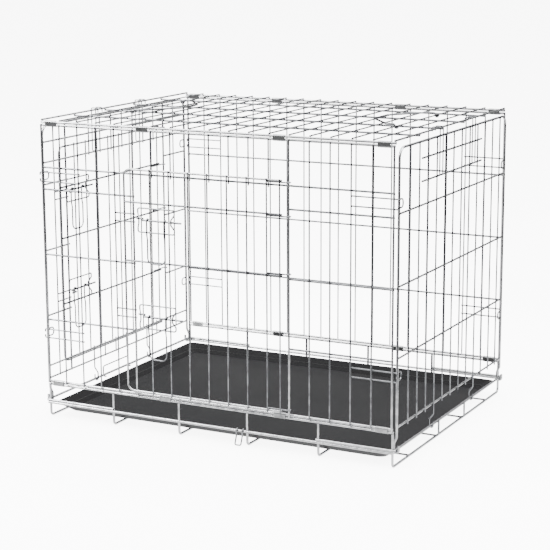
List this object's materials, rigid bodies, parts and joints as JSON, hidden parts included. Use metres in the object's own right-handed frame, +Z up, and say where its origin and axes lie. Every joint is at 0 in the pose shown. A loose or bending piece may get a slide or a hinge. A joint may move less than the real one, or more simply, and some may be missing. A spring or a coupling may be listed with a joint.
{
  "type": "folding wire dog crate",
  "caption": "Folding wire dog crate with a hinged side door and end door on slide bolts, a pull-out plastic floor tray and drop-down carrying handles on the roof.",
  "frame": {"origin": "on the floor under the middle of the base, in the middle between the end rails and between the long rails", "axes": "+X along the length of the crate, away from the end with the door; -Y towards the side with the large door; +Z up"},
  "size_m": [0.8145, 0.6091, 0.6273],
  "materials": {
    "wire": "bright zinc-plated round wire",
    "clip_sheet": "bent zinc-plated sheet",
    "tray_plastic": "black moulded plastic with a soft sheen"
  },
  "bodies": {
    "base": {"base_cross_wires": "wire", "base_long_wires": "wire", "base_hinge_rails": "wire", "base_lower_rails": "wire", "base_left_end_rail": "wire", "base_right_end_rail": "wire"},
    "tray": {"tray": "tray_plastic"},
    "tray_stop": {"tray_stop_loop": "wire"},
    "carrying_hook": {"carrying_hook": "wire"},
    "front_panel": {"front_panel_frame_wires": "wire", "front_panel_posts": "wire", "front_panel_bars": "wire", "front_panel_header_bars": "wire", "front_panel_rails": "wire", "front_corner_keepers": "wire", "front_hinge_clips": "clip_sheet", "front_bolt_keepers": "wire"},
    "rear_panel": {"rear_panel_frame_wires": "wire", "rear_panel_posts": "wire", "rear_panel_bars": "wire", "rear_panel_rails": "wire", "rear_corner_keepers": "wire", "rear_hinge_clips": "clip_sheet"},
    "roof": {"roof_frame_wires": "wire", "roof_cross_wires": "wire", "roof_long_wires": "wire"},
    "roof_left_handle": {"roof_left_handle": "wire"},
    "roof_right_handle": {"roof_right_handle": "wire"},
    "left_end": {"left_end_hoop": "wire", "left_end_eyelet_bars": "wire", "left_end_bars": "wire", "left_end_short_bars": "wire", "left_end_rails": "wire", "left_end_corner_loops": "wire", "left_end_spring_hooks": "wire", "left_bolt_keepers": "wire"},
    "right_end": {"right_end_hoop": "wire", "right_end_eyelet_bars": "wire", "right_end_bars": "wire", "right_end_rails": "wire", "right_end_corner_loops": "wire", "right_end_spring_hooks": "wire"},
    "front_door": {"front_door_frame": "wire", "front_door_rails": "wire", "front_door_bars": "wire", "front_door_knuckles": "wire", "front_door_bolt_brackets": "wire"},
    "front_door_lower_bolt": {"front_door_lower_bolt": "wire"},
    "front_door_lower_grip": {"front_door_lower_bolt_grip": "wire"},
    "front_door_upper_bolt": {"front_door_upper_bolt": "wire"},
    "front_door_upper_grip": {"front_door_upper_bolt_grip": "wire"},
    "left_door": {"left_door_frame": "wire", "left_door_rails": "wire", "left_door_bars": "wire", "left_door_knuckles": "wire", "left_door_bolt_brackets": "wire"},
    "left_door_lower_bolt": {"left_door_lower_bolt": "wire"},
    "left_door_lower_grip": {"left_door_lower_bolt_grip": "wire"},
    "left_door_upper_bolt": {"left_door_upper_bolt": "wire"},
    "left_door_upper_grip": {"left_door_upper_bolt_grip": "wire"}
  },
  "joints": [
    {"name": "tray_slide", "type": "slide", "parent": "base", "child": "tray", "axis": [1, 0, 0], "range_m": [-0.7, 0]},
    {"name": "tray_stop_drop", "type": "slide", "parent": "base", "child": "tray_stop", "axis": [0, 0, -1], "range_m": [0, 0.018]},
    {"name": "carrying_hook_swing", "type": "hinge", "parent": "base", "child": "carrying_hook", "pos_m": [0.0645, -0.29495, 0.03105], "axis": [1, 0, 0], "range_deg": [-75, 0]},
    {"name": "front_fold", "type": "hinge", "parent": "base", "child": "front_panel", "pos_m": [0, -0.29, 0.07], "axis": [1, 0, 0], "range_deg": [0, 85]},
    {"name": "rear_fold", "type": "hinge", "parent": "base", "child": "rear_panel", "pos_m": [0, 0.29, 0.07], "axis": [1, 0, 0], "range_deg": [0, 85]},
    {"name": "roof_level", "type": "hinge", "parent": "rear_panel", "child": "roof", "pos_m": [0, 0.29, 0.6175], "axis": [1, 0, 0], "range_deg": [-85, 0]},
    {"name": "left_end_fold", "type": "hinge", "parent": "base", "child": "left_end", "pos_m": [-0.3925, 0, 0.036], "axis": [0, 1, 0], "range_deg": [0, 87.7], "deforming": ["left_end_spring_hooks"]},
    {"name": "right_end_fold", "type": "hinge", "parent": "base", "child": "right_end", "pos_m": [0.3925, 0, 0.036], "axis": [0, -1, 0], "range_deg": [0, 90], "deforming": ["right_end_spring_hooks"]},
    {"name": "front_door_swing", "type": "hinge", "parent": "front_panel", "child": "front_door", "pos_m": [0.172, -0.29445, 0.3], "axis": [0, 0, -1], "range_deg": [-110, 0]},
    {"name": "left_door_swing", "type": "hinge", "parent": "left_end", "child": "left_door", "pos_m": [-0.3971, 0.19642, 0.3], "axis": [0, 0, 1], "range_deg": [-110, 0]},
    {"name": "front_door_lower_bolt_slide", "type": "slide", "parent": "front_door", "child": "front_door_lower_bolt", "axis": [-1, 0, 0], "range_m": [0, 0.011]},
    {"name": "front_door_upper_bolt_slide", "type": "slide", "parent": "front_door", "child": "front_door_upper_bolt", "axis": [-1, 0, 0], "range_m": [0, 0.011]},
    {"name": "left_door_lower_bolt_slide", "type": "slide", "parent": "left_door", "child": "left_door_lower_bolt", "axis": [0, -1, 0], "range_m": [0, 0.011]},
    {"name": "left_door_upper_bolt_slide", "type": "slide", "parent": "left_door", "child": "left_door_upper_bolt", "axis": [0, -1, 0], "range_m": [0, 0.011]},
    {"name": "front_door_lower_grip_swing", "type": "hinge", "parent": "front_door_lower_bolt", "child": "front_door_lower_grip", "pos_m": [-0.11275, -0.30635, 0.242], "axis": [1, 0, 0], "range_deg": [-100, 0]},
    {"name": "front_door_upper_grip_swing", "type": "hinge", "parent": "front_door_upper_bolt", "child": "front_door_upper_grip", "pos_m": [-0.11275, -0.30635, 0.437], "axis": [1, 0, 0], "range_deg": [-100, 0]},
    {"name": "left_door_lower_grip_swing", "type": "hinge", "parent": "left_door_lower_bolt", "child": "left_door_lower_grip", "pos_m": [-0.409, -0.13675, 0.243], "axis": [0, -1, 0], "range_deg": [-100, 0]},
    {"name": "left_door_upper_grip_swing", "type": "hinge", "parent": "left_door_upper_bolt", "child": "left_door_upper_grip", "pos_m": [-0.409, -0.13675, 0.4585], "axis": [0, -1, 0], "range_deg": [-100, 0]},
    {"name": "roof_right_handle_swing", "type": "hinge", "parent": "roof", "child": "roof_right_handle", "pos_m": [0.301, 0, 0.62145], "axis": [0, 1, 0], "range_deg": [0, 100]},
    {"name": "roof_left_handle_swing", "type": "hinge", "parent": "roof", "child": "roof_left_handle", "pos_m": [-0.301, 0, 0.62145], "axis": [0, -1, 0], "range_deg": [0, 100]}
  ],
  "couplings": [
    {"joint": "front_fold", "follows": "rear_fold", "ratio": 1},
    {"joint": "roof_level", "follows": "rear_fold", "ratio": -1}
  ]
}
